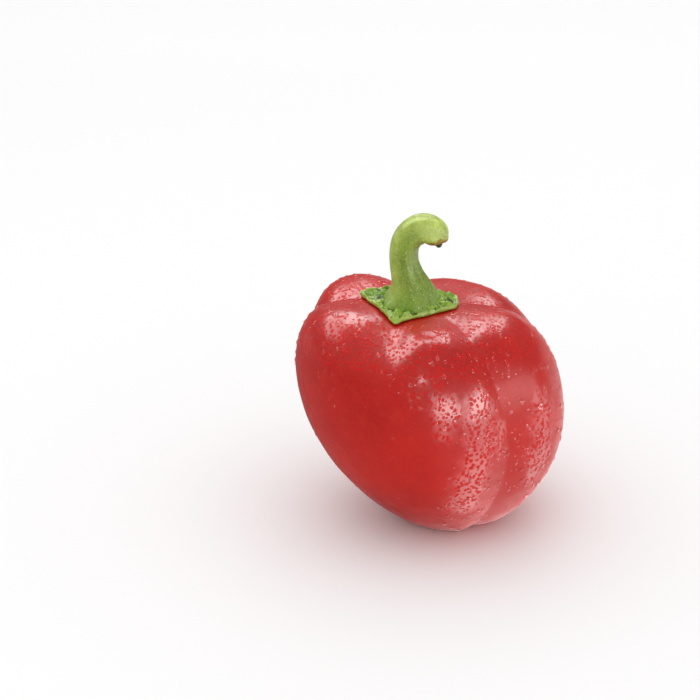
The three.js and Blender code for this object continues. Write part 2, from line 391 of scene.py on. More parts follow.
def makeSkinMaterial():
    material, tree, skin = newMaterial("pepperSkin")
    drift = placeGroup(tree, mottle, **skinDesign["drift"])
    grain = placeGroup(tree, mottle, **skinDesign["grain"])
    tone = mixColours(tree, drift["Broad"], skinDesign["deep"], skinDesign["bright"])
    flush = maths(tree, "MULTIPLY", remap(tree, drift["Fine"], 0.55, 0.95), skinDesign["flushMost"])
    tone = mixColours(tree, flush, tone, skinDesign["flush"])
    grainTone = remap(tree, grain["Fine"], 0.0, 1.0, *skinDesign["grainTone"], "LINEAR")
    tone = mixColours(tree, 1.0, tone, grainTone, "MULTIPLY")
    beads = placeGroup(tree, mist, **skinDesign["beads"])
    dust = placeGroup(tree, mist, **skinDesign["dust"])
    misted = placeGroup(tree, makeMistMap(), Ragged=skinDesign["ragged"])["Thick"]
    wet = maths(tree, "MAXIMUM", beads["Mask"], dust["Mask"])
    wet = maths(tree, "MULTIPLY", wet, remap(tree, misted, *skinDesign["wetSpan"]))
    underBead = maths(tree, "MULTIPLY", wet, skinDesign["underBeadMost"])
    tone = mixColours(tree, underBead, tone, skinDesign["underBead"])
    tree.links.new(tone, skin.inputs["Base Color"])
    roughness = remap(tree, grain["Broad"], 0.0, 1.0, *skinDesign["roughness"], "LINEAR")
    tree.links.new(roughness, skin.inputs["Roughness"])
    # the coat gives way under the beads, and towards the skin's edges, where the mist dulls it most
    turnedAway = addNode(tree, "ShaderNodeLayerWeight", {"Blend": 0.5}).outputs["Facing"]
    coat = maths(tree, "MULTIPLY", remap(tree, wet, 0.0, 1.0, 1.0, skinDesign["beadCoat"], "LINEAR"),
                 remap(tree, turnedAway, *skinDesign["edgeSpan"], 1.0, skinDesign["edgeCoat"]))
    dry = remap(tree, misted, 0.0, 1.0, skinDesign["dryCoat"], 1.0, "LINEAR")
    tree.links.new(maths(tree, "MULTIPLY", coat, dry), skin.inputs["Coat Weight"])
    height = maths(tree, "MULTIPLY_ADD", dust["Height"], 0.5, beads["Height"])
    height = maths(tree, "MULTIPLY", height, misted)
    height = maths(tree, "MULTIPLY_ADD", grain["Broad"], 0.25, height)
    bump = addNode(tree, "ShaderNodeBump", {
        "Height": height, "Strength": 0.8, "Distance": skinDesign["bumpDepth"]})
    tree.links.new(bump.outputs[0], skin.inputs["Normal"])
    skin.inputs["IOR"].default_value = 1.45
    skin.inputs["Specular IOR Level"].default_value = 0.13
    skin.inputs["Coat Roughness"].default_value = skinDesign["coatRoughness"]
    return material


def makeFruit():
    fruitSkin = copyOfNode("fruit", "fruitSkin")
    applyTree(fruitSkin, makeSkinRelief(), {**fruitDesign, "Material": makeSkinMaterial()})
    print("fruit skin:", len(fruitSkin.data.polygons), "faces")
    return fruitSkin


# the calyx is a five-cornered cap, with puffs between its creases, fine wrinkles over all of it,
# a vein out to each corner and a lighter rim

calyxDesign = {
    "Levels": 3,
    "Puff": 1.7 * mm,  # how high the puffs stand over the creases between them
    "Puff Size": 3.6 * mm,
    "Moat": 1.15 * mm,  # how far the cap dips between the stem's foot and the rim
    "Rim": 0.1 * mm,  # how far the rim stands up
    "Crinkle": 0.6 * mm,  # height of the wrinkles that run over all of it
    "Vein": 0.8 * mm,
    "Seed": 11.0,
}
cornerCount = 5
veinReach = 1.3 * mm  # half a vein's width
# where things lie on the cap, in shares of the way from its middle to its edge
capLayout = {
    "wrinkles": (0.3, 0.5),  # they begin over this span, from the stem's foot out
    "moat": (0.38, 0.55),  # and so does the moat
    "moatEnd": (0.98, 0.9),
    "rim": (0.93, 0.985),
}
# how the puffs, the wrinkles and the rim wander
capWander = {
    "swirlSize": 5 * mm,
    "bend": 3.5 * mm,  # of the creases
    "sway": 1.9 * mm,  # of the rim
    "rimSize": 6 * mm,  # width of its waves
    "rimUneven": 1.6,
    "wrinkleSize": 3.4 * mm,
}
greenDesign = {
    "shade": colour(0.04, 0.085, 0.006),  # painted shade, down in the creases
    "leaf": colour(0.155, 0.325, 0.016),
    "light": colour(0.42, 0.56, 0.075),  # on the puffs and along the rim
    "olive": colour(0.125, 0.205, 0.015),
    "stalk": colour(0.23, 0.37, 0.018),
    "top": colour(0.64, 0.76, 0.16),  # pale green: painted light where the stem bends over and on its outside, and pale blotches
    "fleck": colour(0.60, 0.70, 0.30),
    "dry": colour(0.30, 0.15, 0.022),  # the cut end
}


# the middle of the stem's foot, which the calyx and the stem are laid out round
def footCentre():
    points = [v.co for v in cadNodes["stem"].data.vertices]
    lowest = min(point.z for point in points)
    foot = [point for point in points if point.z < lowest + 0.1 * mm]
    return sum(foot, Vector()) / len(foot)


# the angle between two azimuths, either way round
def turnBetween(first, second):
    return abs((first - second + math.pi) % (2 * math.pi) - math.pi)


# reach of the calyx's edge at each azimuth, and the azimuths of its corners
def calyxOutline(bm, centre):
    spots = [v.co - centre for v in bm.verts]
    azimuths = np.array([math.atan2(spot.y, spot.x) for spot in spots])
    radii = np.array([math.hypot(spot.x, spot.y) for spot in spots])
    steps = np.radians(np.arange(0, 360, 1.0))

    def reachAt(azimuth):
        return radii[turnBetween(azimuths, azimuth) < math.radians(4)].max()

    reaches = np.array([reachAt(azimuth) for azimuth in steps])
    corners = []
    for k in np.argsort(-reaches):
        if all(turnBetween(steps[k], corner) > math.radians(30) for corner in corners):
            corners.append(float(steps[k]))
    return reachAt, corners[:cornerCount]


# notes on each vertex where it lies on the calyx: its share of the way to the edge, whether it is
# on the upper side, and how near it is to a vein
def layOutCalyx(bm):
    centre = footCentre()
    reachAt, corners = calyxOutline(bm, centre)
    bm.normal_update()
    layers = {name: bm.verts.layers.float.new(name) for name in ("share", "above", "vein")}
    for v in bm.verts:
        x, y = v.co.x - centre.x, v.co.y - centre.y
        azimuth = math.atan2(y, x)
        radius = math.hypot(x, y)
        turns = [min(turnBetween(azimuth, corner), math.pi / 2) for corner in corners]
        v[layers["share"]] = min(1.0, radius / reachAt(azimuth))
        v[layers["above"]] = 1.0 if v.normal.z > 0 else 0.0
        v[layers["vein"]] = max(math.exp(-(radius * math.sin(turn) / veinReach) ** 2) for turn in turns)


def makeCalyxRelief():
    tree, going, coming = newGroup(
        "calyxRelief", "GeometryNodeTree",
        {"Geometry": ("Geometry", None), "Levels": ("Int", 3), "Puff": ("Float", 0.0),
         "Puff Size": ("Float", 0.004), "Moat": ("Float", 0.0), "Rim": ("Float", 0.0),
         "Crinkle": ("Float", 0.0), "Vein": ("Float", 0.0), "Seed": ("Float", 0.0),
         "Material": ("Material", None)},
        {"Geometry": "Geometry"})
    refined = addNode(tree, "GeometryNodeSubdivisionSurface", {
        "Mesh": going["Geometry"], "Level": going["Levels"]}).outputs["Mesh"]
    place = addNode(tree, "GeometryNodeInputPosition").outputs[0]
    share, above, vein = (attribute(tree, name) for name in ("share", "above", "vein"))
    swirl = noiseAt(tree, place, capWander["swirlSize"], going["Seed"]).outputs["Color"]
    swirl = vectorMaths(tree, "SUBTRACT", swirl, (0.5, 0.5, 0.5))
    bend = vectorMaths(tree, "SCALE", swirl, scale=capWander["bend"])
    warped = vectorMaths(tree, "ADD", place, bend)
    cells = addNode(tree, "ShaderNodeTexVoronoi", {
        "Vector": warped, "W": going["Seed"], "Scale": maths(tree, "DIVIDE", 1.0, going["Puff Size"]),
        "Smoothness": 0.2, "Randomness": 1.0}, feature="SMOOTH_F1", voronoi_dimensions="4D")
    puff = remap(tree, cells.outputs["Distance"], 0.72, 0.15)
    moat = maths(tree, "MULTIPLY", remap(tree, share, *capLayout["moat"]),
                 remap(tree, share, *capLayout["moatEnd"]))
    rim = remap(tree, share, *capLayout["rim"])
    dip = maths(tree, "MULTIPLY_ADD", puff, going["Puff"], maths(tree, "MULTIPLY", going["Moat"], -1.0))
    dip = maths(tree, "ADD", dip, maths(tree, "MULTIPLY", vein, going["Vein"]))
    uneven = wave(tree, place, capWander["rimSize"], capWander["rimUneven"], going["Seed"])
    uneven = maths(tree, "ADD", 1.0, uneven)
    lip = maths(tree, "MULTIPLY", maths(tree, "MULTIPLY", rim, going["Rim"]), uneven)
    # wrinkles run where the noise crosses its middle value
    wrinkle = wave(tree, warped, capWander["wrinkleSize"], 1.0, going["Seed"], 2.0)
    wrinkle = maths(tree, "ABSOLUTE", wrinkle)
    wrinkle = remap(tree, wrinkle, 0.0, 0.12, 1.0, 0.0)
    wrinkled = remap(tree, share, *capLayout["wrinkles"])
    lip = maths(tree, "MULTIPLY_ADD", maths(tree, "MULTIPLY", wrinkle, wrinkled), going["Crinkle"], lip)
    height = maths(tree, "MULTIPLY", maths(tree, "MULTIPLY_ADD", dip, moat, lip), above)
    lift = addNode(tree, "ShaderNodeCombineXYZ", {"Z": height}).outputs[0]
    sway = vectorMaths(tree, "SCALE", swirl, scale=maths(tree, "MULTIPLY", rim, capWander["sway"]))
    sway = vectorMaths(tree, "MULTIPLY", sway, (1.0, 1.0, 0.3))
    moved = addNode(tree, "GeometryNodeSetPosition", {
        "Geometry": refined, "Offset": vectorMaths(tree, "ADD", lift, sway)}).outputs[0]
    # the creases between the puffs, noted for the material's painted shade
    crease = maths(tree, "MULTIPLY", maths(tree, "SUBTRACT", 1.0, puff), moat)
    raised = maths(tree, "MAXIMUM", vein, wrinkle)
    crease = maths(tree, "MULTIPLY", crease, maths(tree, "SUBTRACT", 1.0, raised))
    noted = storeAttribute(tree, moved, "crease", crease)
    noted = storeAttribute(tree, noted, "rim", rim)
    finishTree(tree, noted, going, coming)
    return tree


def makeCalyxMaterial():
    material, tree, leaf = newMaterial("calyxGreen")
    broad = placeGroup(tree, mottle, Size=7 * mm, Contrast=1.0, Seed=3.0)
    flecks = placeGroup(tree, mist, Spacing=0.9 * mm, Cover=0.9, Smallest=0.08, Largest=0.3, Seed=8.0)
    crease = readAttribute(tree, "crease")
    rim = readAttribute(tree, "rim")
    tone = mixColours(tree, broad["Broad"], greenDesign["leaf"], greenDesign["light"])
    # painted shade: darker green down in the creases
    tone = mixColours(tree, remap(tree, crease, 0.1, 0.65, 0.0, 0.9), tone, greenDesign["shade"])
    tone = mixColours(tree, remap(tree, rim, 0.5, 1.0, 0.0, 0.5), tone, greenDesign["light"])
    tone = mixColours(tree, maths(tree, "MULTIPLY", flecks["Mask"], 0.3), tone, greenDesign["fleck"])
    tree.links.new(tone, leaf.inputs["Base Color"])
    tree.links.new(remap(tree, broad["Fine"], 0.0, 1.0, 0.28, 0.5, "LINEAR"), leaf.inputs["Roughness"])
    height = maths(tree, "MULTIPLY_ADD", flecks["Height"], 0.4, broad["Fine"])
    bump = addNode(tree, "ShaderNodeBump", {"Height": height, "Strength": 0.6, "Distance": 0.2 * mm})
    tree.links.new(bump.outputs[0], leaf.inputs["Normal"])
    leaf.inputs["Specular IOR Level"].default_value = 0.25
    leaf.inputs["Coat Weight"].default_value = 0.16
    leaf.inputs["Coat Roughness"].default_value = 0.1
    return material


def makeCalyx():
    calyxLeaf = copyOfNode("calyx", "calyxLeaf", layOutCalyx)
    applyTree(calyxLeaf, makeCalyxRelief(), {**calyxDesign, "Material": makeCalyxMaterial()})
    print("calyx:", len(calyxLeaf.data.polygons), "faces")
    return calyxLeaf


# the stem is ribbed along its length, spread into toes at its foot, and dry and dished at its cut end

stemDesign = {
    "Levels": 3,
    "Rib": 0.16 * mm,
    "Broad Ribs": 5.0,  # how many stand round it
    "Fine Ribs": 13.0,
    "Lump": 0.5 * mm,
    "Lump Size": 4.5 * mm,
    "Toe": 1.1 * mm,  # how far the foot's toes spread over the calyx
    "Sink": 1.5 * mm,  # how far they reach down to it
    "Toe Turn": 1.3,  # radians, so that a toe runs out to the front corner
    "Seed": 6.0,
}
scarDesign = {
    "lip": 0.7 * mm,  # width of the dry ring round the cut
    "dish": 0.6 * mm,  # depth of the cut's hollow
    "slope": 0.4 * mm,  # width of the slope down into it
}
nubDesign = {
    # the stub of dry fibre that hangs from the cut, set off from the middle of it
    "place": (0.8 * mm, -0.6 * mm, -0.85 * mm),
    "size": (1.55 * mm, 1.1 * mm, 1.45 * mm),
    "knobs": 0.45,  # how uneven it is
    "knobSize": 1.6,
    "roughness": (0.65, 0.85),
    "dark": colour(0.022, 0.030, 0.006),
    "pale": colour(0.12, 0.10, 0.022),
}


# dishes the cut end, then notes on each vertex its share of the way up the stem, its distance along it
# and the direction that it faces round it
def layOutStem(bm):
    names = ("along", "length", "inner", "side")
    layers = {name: bm.verts.layers.float.new(name) for name in names}
    poles = sorted(bm.verts, key=lambda v: -len(v.link_faces))[:2]
    foot, cut = sorted(poles, key=lambda v: v.co.z)
    footSpot = foot.co.copy()
    cutFaces = list(cut.link_faces)
    bmesh.ops.inset_region(bm, faces=cutFaces, thickness=scarDesign["lip"], depth=0.0)
    bmesh.ops.inset_region(bm, faces=cutFaces, thickness=scarDesign["slope"], depth=-scarDesign["dish"])
    # each vertex's ring is the number of edges between it and the middle of the foot
    start = min(bm.verts, key=lambda v: (v.co - footSpot).length)
    ring = {start: 0}
    front = [start]
    while front:
        following = []
        for v in front:
            for edge in v.link_edges:
                other = edge.other_vert(v)
                if other not in ring:
                    ring[other] = ring[v] + 1
                    following.append(other)
        front = following
    last = max(ring.values())
    rings = [[v for v in bm.verts if ring[v] == k] for k in range(last + 1)]
    middles = [sum((v.co for v in members), Vector()) / len(members) for members in rings]
    towardsBack = Vector((0, 1, 0))
    length = 0.0
    for k, members in enumerate(rings):
        if k > 0:
            length += (middles[k] - middles[k - 1]).length
        ahead = middles[min(k + 1, last)] - middles[max(k - 1, 0)]
        inward = towardsBack.cross(ahead).normalized()
        for v in members:
            spoke = (v.co - middles[k]).normalized()
            v[layers["along"]] = k / last
            v[layers["length"]] = length
            v[layers["inner"]] = spoke.dot(inward)
            v[layers["side"]] = spoke.dot(towardsBack)


def makeStemRelief():
    tree, going, coming = newGroup(
        "stemRelief", "GeometryNodeTree",
        {"Geometry": ("Geometry", None), "Levels": ("Int", 3), "Rib": ("Float", 0.0),
         "Broad Ribs": ("Float", 5.0), "Fine Ribs": ("Float", 13.0),
         "Lump": ("Float", 0.0), "Lump Size": ("Float", 0.004), "Toe": ("Float", 0.0),
         "Sink": ("Float", 0.0), "Toe Turn": ("Float", 0.0), "Seed": ("Float", 0.0),
         "Material": ("Material", None)},
        {"Geometry": "Geometry"})
    refined = addNode(tree, "GeometryNodeSubdivisionSurface", {
        "Mesh": going["Geometry"], "Level": going["Levels"]}).outputs["Mesh"]
    place = addNode(tree, "GeometryNodeInputPosition").outputs[0]
    normal = addNode(tree, "GeometryNodeInputNormal").outputs[0]
    notes = ("along", "length", "inner", "side")
    along, length, inner, side = (attribute(tree, name) for name in notes)
    turn = maths(tree, "ARCTAN2", side, inner)
    drift = wave(tree, place, 9 * mm, 1.6, going["Seed"])
    broadRibs = maths(tree, "COSINE", maths(tree, "MULTIPLY_ADD", turn, going["Broad Ribs"], drift))
    moreDrift = maths(tree, "MULTIPLY", drift, 2.0)
    fineRibs = maths(tree, "COSINE", maths(tree, "MULTIPLY_ADD", turn, going["Fine Ribs"], moreDrift))
    ribs = maths(tree, "MULTIPLY", maths(tree, "MULTIPLY_ADD", fineRibs, 0.35, broadRibs), going["Rib"])
    bark = remap(tree, along, 0.94, 0.9)  # off the cut face
    knobs = remap(tree, along, 0.55, 0.9, 0.5, 1.9)  # lumpier towards the cut
    lumps = wave(tree, place, going["Lump Size"], going["Lump"], going["Seed"])
    swell = maths(tree, "ADD", ribs, maths(tree, "MULTIPLY", lumps, knobs))
    swell = maths(tree, "MULTIPLY", swell, maths(tree, "MULTIPLY_ADD", bark, 0.7, 0.3))
    # toes round the foot, as many as the calyx has corners
    toe = maths(tree, "MULTIPLY", maths(tree, "SUBTRACT", turn, going["Toe Turn"]), float(cornerCount))
    toe = maths(tree, "MULTIPLY_ADD", maths(tree, "COSINE", toe), 0.5, 0.5)
    low = remap(tree, length, 3.4 * mm, 0.0)
    spread = maths(tree, "MULTIPLY", maths(tree, "MULTIPLY", toe, going["Toe"]), low)
    down = maths(tree, "MULTIPLY", maths(tree, "MULTIPLY", low, going["Sink"]), -1.0)
    step = addNode(tree, "ShaderNodeCombineXYZ", {
        "X": maths(tree, "MULTIPLY", inner, spread),
        "Y": maths(tree, "MULTIPLY", side, spread), "Z": down})
    offset = vectorMaths(tree, "ADD", vectorMaths(tree, "SCALE", normal, scale=swell), step.outputs[0])
    moved = addNode(tree, "GeometryNodeSetPosition", {"Geometry": refined, "Offset": offset}).outputs[0]
    # where the grooves between the broad ribs lie, for the material's painted shade
    noted = storeAttribute(tree, moved, "groove", maths(tree, "MULTIPLY_ADD", broadRibs, -0.5, 0.5))
    finishTree(tree, noted, going, coming)
    return tree


def makeStemMaterial():
    material, tree, stalk = newMaterial("stemGreen")
    along, length, inner, side, groove = (
        readAttribute(tree, name) for name in ("along", "length", "inner", "side", "groove"))
    # streaks that run with the stem: the grain is laid out round it and, much drawn out, along it
    grain = addNode(tree, "ShaderNodeCombineXYZ", {
        "X": inner, "Y": side, "Z": maths(tree, "MULTIPLY", length, 40.0)}).outputs[0]
    streaks = addNode(tree, "ShaderNodeTexNoise", {"Vector": grain, "Scale": 4.5, "Detail": 3.0})
    streaks = remap(tree, streaks.outputs["Fac"], 0.36, 0.66)
    broad = placeGroup(tree, mottle, Size=6 * mm, Contrast=0.9, Seed=9.0)
    flecks = placeGroup(tree, mist, Spacing=0.85 * mm, Cover=0.75, Smallest=0.05, Largest=0.34, Seed=2.0)
    blotches = placeGroup(tree, mottle, Size=3.5 * mm, Contrast=1.3, Seed=14.0)
    tone = mixColours(tree, streaks, greenDesign["olive"], greenDesign["stalk"])
    # painted shade: darker olive down the grooves between the ribs
    tone = mixColours(tree, maths(tree, "MULTIPLY", groove, 0.45), tone, greenDesign["olive"])
    # painted light, paler towards the bend and on the outside; greener near the calyx
    tone = mixColours(tree, remap(tree, along, 0.5, 0.8, 0.0, 0.7), tone, greenDesign["top"])
    tone = mixColours(tree, remap(tree, inner, -0.1, -0.95, 0.0, 0.7), tone, greenDesign["top"])
    tone = mixColours(tree, remap(tree, length, 6 * mm, 0.5 * mm, 0.0, 0.85), tone, greenDesign["leaf"])
    tone = mixColours(tree, maths(tree, "MULTIPLY", broad["Broad"], 0.3), tone, greenDesign["stalk"])
    tone = mixColours(tree, maths(tree, "MULTIPLY", blotches["Broad"], 0.5), tone, greenDesign["olive"])
    tone = mixColours(tree, maths(tree, "MULTIPLY", blotches["Fine"], 0.22), tone, greenDesign["top"])
    tone = mixColours(tree, maths(tree, "MULTIPLY", flecks["Mask"], 0.5), tone, greenDesign["fleck"])
    ragged = maths(tree, "MULTIPLY_ADD", broad["Fine"], 0.05, along)
    dry = remap(tree, ragged, 0.875, 0.945)
    tone = mixColours(tree, dry, tone, greenDesign["dry"])
    tree.links.new(tone, stalk.inputs["Base Color"])
    gloss = remap(tree, broad["Fine"], 0.0, 1.0, 0.34, 0.52, "LINEAR")
    tree.links.new(maths(tree, "MULTIPLY_ADD", dry, 0.35, gloss), stalk.inputs["Roughness"])
    height = maths(tree, "MULTIPLY_ADD", streaks, 0.6, maths(tree, "MULTIPLY", flecks["Height"], 0.8))
    height = maths(tree, "MULTIPLY_ADD", blotches["Fine"], 1.2, height)
    bump = addNode(tree, "ShaderNodeBump", {"Height": height, "Strength": 0.8, "Distance": 0.15 * mm})
    tree.links.new(bump.outputs[0], stalk.inputs["Normal"])
    stalk.inputs["Specular IOR Level"].default_value = 0.15
    stalk.inputs["Coat Weight"].default_value = 0.25
    stalk.inputs["Coat Roughness"].default_value = 0.36
    return material


def makeStem():
    stemStalk = copyOfNode("stem", "stemStalk", layOutStem)
    applyTree(stemStalk, makeStemRelief(), {**stemDesign, "Material": makeStemMaterial()})
    print("stem:", len(stemStalk.data.polygons), "faces")
    return stemStalk


def makeNubMaterial():
    material, tree, fibre = newMaterial("dryFibre")
    broad = placeGroup(tree, mottle, Size=1.5 * mm, Contrast=1.0, Seed=5.0)
    tone = mixColours(tree, broad["Broad"], nubDesign["dark"], nubDesign["pale"])
    tree.links.new(tone, fibre.inputs["Base Color"])
    roughness = remap(tree, broad["Fine"], 0.0, 1.0, *nubDesign["roughness"], "LINEAR")
    tree.links.new(roughness, fibre.inputs["Roughness"])
    bump = addNode(tree, "ShaderNodeBump", {
        "Height": broad["Fine"], "Strength": 0.8, "Distance": 0.15 * mm})
    tree.links.new(bump.outputs[0], fibre.inputs["Normal"])
    return material


def makeNub(stemStalk):
    notes = stemStalk.data.attributes["along"].data
    tip = max(range(len(notes)), key=lambda k: notes[k].value)
    middle = stemStalk.data.vertices[tip].co + Vector(nubDesign["place"])
    bm = bmesh.new()
    bmesh.ops.create_icosphere(bm, subdivisions=4, radius=1.0)
    for v in bm.verts:
        knobbly = 1 + nubDesign["knobs"] * noise.noise(v.co * nubDesign["knobSize"])
        v.co = middle + Vector(a * b for a, b in zip(v.co * knobbly, nubDesign["size"]))
    for face in bm.faces:
        face.smooth = True
    mesh = bpy.data.meshes.new("stemNub")
    bm.to_mesh(mesh)
    bm.free()
    mesh.materials.append(makeNubMaterial())
    return newObject("stemNub", mesh)


# the water is fine beads over the skin, finer dew on the green parts, and a few larger drops
# placed one by one

beadDesign = {
    "Spacing": 1.0 * mm,  # least distance between two beads
    "Density": 220000.0,  # most beads to a square metre
    "Smallest": 0.24 * mm,
    "Largest": 0.8 * mm,
    "Rareness": 2.2,  # of the large ones; at 1, every size is as common
    "Flatness": 0.42,
    "Sag": 0.35,  # how much longer they get down the slope
    "Wet Side": 6 * mm,  # from this far right of the middle on, the skin is wet
    "Wet Top": 57 * mm,  # and from this height up
    "Dry Cover": 0.05,  # share of the beads that lie elsewhere
    "Seed": 3,
}
dewDesign = {  # the finer beads on the green parts
    **beadDesign,
    "Spacing": 0.8 * mm,
    "Density": 260000.0,
    "Smallest": 0.09 * mm,
    "Largest": 0.27 * mm,
    "Sag": 0.0,
    "Seed": 8,
}
wetDesign = {  # how softly the wet parts begin, and the patches in them
    "sideEdge": 5 * mm,
    "topEdge": (5 * mm, 8 * mm),  # below and above its height
    "patchSize": 12 * mm,
    "foot": (2 * mm, 5 * mm),  # it is dry where it stands
}
dropDesign = {
    "radius": 0.85 * mm,
    "flatness": 0.5,
    # where each drop lies: degrees round the pepper from +X, height, size and how far it has run
    "drops": (
        (-44, 52.7 * mm, 1.15, 1.0), (-61, 43.9 * mm, 1.1, 1.15), (-56, 37.6 * mm, 1.0, 1.0),
        (-72, 21.8 * mm, 1.15, 1.2), (-63, 28.7 * mm, 0.8, 1.0), (-34, 32.4 * mm, 1.0, 1.0),
        (-34, 40.6 * mm, 0.9, 1.1), (-81, 52.9 * mm, 0.8, 1.3), (-81, 55.6 * mm, 0.75, 1.0),
        (-85, 50.7 * mm, 0.8, 1.5), (-74, 32.6 * mm, 0.7, 1.9), (-73, 30.6 * mm, 0.7, 2.0),
        (-98, 64.5 * mm, 0.6, 1.0), (38, 44 * mm, 1.0, 1.2), (75, 38 * mm, 1.1, 1.0),
        (118, 47 * mm, 0.9, 1.3), (150, 35 * mm, 1.0, 1.1), (176, 50 * mm, 0.8, 1.0),
    ),
}


def makeBeadTree():
    tree, going, coming = newGroup(
        "waterBeads", "GeometryNodeTree",
        {"Geometry": ("Geometry", None), "Spacing": ("Float", 0.002), "Density": ("Float", 1000.0),
         "Smallest": ("Float", 0.0002), "Largest": ("Float", 0.0005),
         "Rareness": ("Float", 1.0), "Flatness": ("Float", 0.5),
         "Sag": ("Float", 0.3), "Wet Side": ("Float", 0.0), "Wet Top": ("Float", 0.05),
         "Dry Cover": ("Float", 0.1), "Seed": ("Int", 0), "Material": ("Material", None)},
        {"Geometry": "Geometry"})
    place = addNode(tree, "GeometryNodeInputPosition").outputs[0]
    axes = addNode(tree, "ShaderNodeSeparateXYZ", {0: place}).outputs
    side = remap(tree, axes["X"], maths(tree, "SUBTRACT", going["Wet Side"], wetDesign["sideEdge"]),
                 maths(tree, "ADD", going["Wet Side"], wetDesign["sideEdge"]))
    below, over = wetDesign["topEdge"]
    top = remap(tree, axes["Z"], maths(tree, "SUBTRACT", going["Wet Top"], below),
                maths(tree, "ADD", going["Wet Top"], over))
    patches = noiseAt(tree, place, wetDesign["patchSize"], 2.0, 2.0).outputs["Fac"]
    patches = remap(tree, patches, 0.35, 0.6)
    cover = maths(tree, "MULTIPLY", maths(tree, "MAXIMUM", side, top), patches)
    cover = maths(tree, "MAXIMUM", cover, going["Dry Cover"])
    cover = maths(tree, "MULTIPLY", cover, remap(tree, axes["Z"], *wetDesign["foot"]))
    spots = addNode(tree, "GeometryNodeDistributePointsOnFaces", {
        "Mesh": going["Geometry"], "Distance Min": going["Spacing"], "Density Max": going["Density"],
        "Density Factor": cover, "Seed": going["Seed"]}, distribute_method="POISSON")
    chance = addNode(tree, "FunctionNodeRandomValue", {"Seed": going["Seed"]}, data_type="FLOAT")
    chance = chance.outputs[1]
    size = remap(tree, maths(tree, "POWER", chance, going["Rareness"]), 0.0, 1.0,
                 going["Smallest"], going["Largest"], "LINEAR")
    sagging = maths(tree, "MULTIPLY", size, maths(tree, "MULTIPLY_ADD", chance, going["Sag"], 1.0))
    scale = addNode(tree, "ShaderNodeCombineXYZ", {
        "X": sagging, "Y": size, "Z": maths(tree, "MULTIPLY", size, going["Flatness"])}).outputs[0]
    downhill = addNode(tree, "FunctionNodeAlignRotationToVector", {
        "Rotation": spots.outputs["Rotation"], "Vector": (0.0, 0.0, -1.0)}, axis="X", pivot_axis="Z")
    bead = addNode(tree, "GeometryNodeMeshUVSphere", {"Segments": 8, "Rings": 5, "Radius": 1.0})
    beads = addNode(tree, "GeometryNodeInstanceOnPoints", {
        "Points": spots.outputs["Points"], "Instance": bead.outputs[0],
        "Rotation": downhill.outputs[0], "Scale": scale})
    # made real here too, so that the smooth shading is set on every bead
    whole = addNode(tree, "GeometryNodeRealizeInstances", {"Geometry": beads.outputs[0]}).outputs[0]
    finishTree(tree, whole, going, coming)
    return tree


def makeWaterMaterial():
    material, tree, water = newMaterial("water")
    ripples = placeGroup(tree, mottle, Size=1.6 * mm, Contrast=0.8, Seed=4.0)
    bump = addNode(tree, "ShaderNodeBump", {
        "Height": ripples["Broad"], "Strength": 0.12, "Distance": 0.05 * mm})
    tree.links.new(bump.outputs[0], water.inputs["Normal"])
    water.inputs["Base Color"].default_value = colour(1.0, 1.0, 1.0)
    roughness = remap(tree, ripples["Fine"], 0.0, 1.0, 0.01, 0.05, "LINEAR")
    tree.links.new(roughness, water.inputs["Roughness"])
    water.inputs["IOR"].default_value = 1.33
    water.inputs["Transmission Weight"].default_value = 1.0
    return material


# light reaches what lies under the water
def letLightThrough(piece):
    piece.visible_shadow = False
    piece.visible_diffuse = False


# beads lying over the surface of a piece
def makeBeads(name, piece, design, tree, water):
    beads = newObject(name, piece.data.copy())
    applyTree(beads, tree, {**design, "Material": water})
    letLightThrough(beads)
    print(name + ":", len(beads.data.polygons), "faces")
    return beads


def makeDrops(fruitSkin, water):
    skinTree = BVHTree.FromObject(fruitSkin, bpy.context.evaluated_depsgraph_get())
    bm = bmesh.new()
    for azimuth, height, size, run in dropDesign["drops"]:
        angle = math.radians(azimuth)
        outward = Vector((math.cos(angle), math.sin(angle), 0))
        spot, normal, _, _ = skinTree.ray_cast(outward * 100 * mm + Vector((0, 0, height)), -outward)
        downhill = (Vector((0, 0, -1)) - normal * -normal.z).normalized()
        turned = Matrix((downhill, normal.cross(downhill), normal)).transposed().to_4x4()
        radius = dropDesign["radius"] * size
        shape = Matrix.Diagonal((radius * run, radius, radius * dropDesign["flatness"], 1.0))
        bmesh.ops.create_icosphere(bm, subdivisions=3, radius=1.0,
                                   matrix=Matrix.Translation(spot) @ turned @ shape)
    for face in bm.faces:
        face.smooth = True
    mesh = bpy.data.meshes.new("waterDrops")
    bm.to_mesh(mesh)
    bm.free()
    waterDrops = newObject("waterDrops", mesh)
    mesh.materials.append(water)
    letLightThrough(waterDrops)
    print("waterDrops:", len(dropDesign["drops"]))
    return waterDrops


# the stage is a pale floor in soft light from all round, with cards that only the gloss sees

stageDesign = {
    "floorSize": 40.0,
    "floorTone": 0.92,
    "floorRoughness": 0.8,
    "backdrop": 1.0,  # what the camera sees past the floor
    "fill": 0.92,  # soft light from all round
    "fillShine": 0.08,  # what the pepper's gloss sees of it
}
# what only the gloss sees of the floor: a faint shine all over, and a light card to the right
cardDesign = {
    "shine": 0.5,
    "glow": 2.0,
    "edge": (-12 * mm, 30 * mm),  # the card begins over this span of X
    "reach": 0.9,  # it fades out to this far from the pepper
    "farShare": 0.15,  # of the glow, left there
    "coreGlow": 1.5,  # a brighter core in it
    "core": (40 * mm, -62 * mm, 0.0),
    "coreReach": 75 * mm,
}
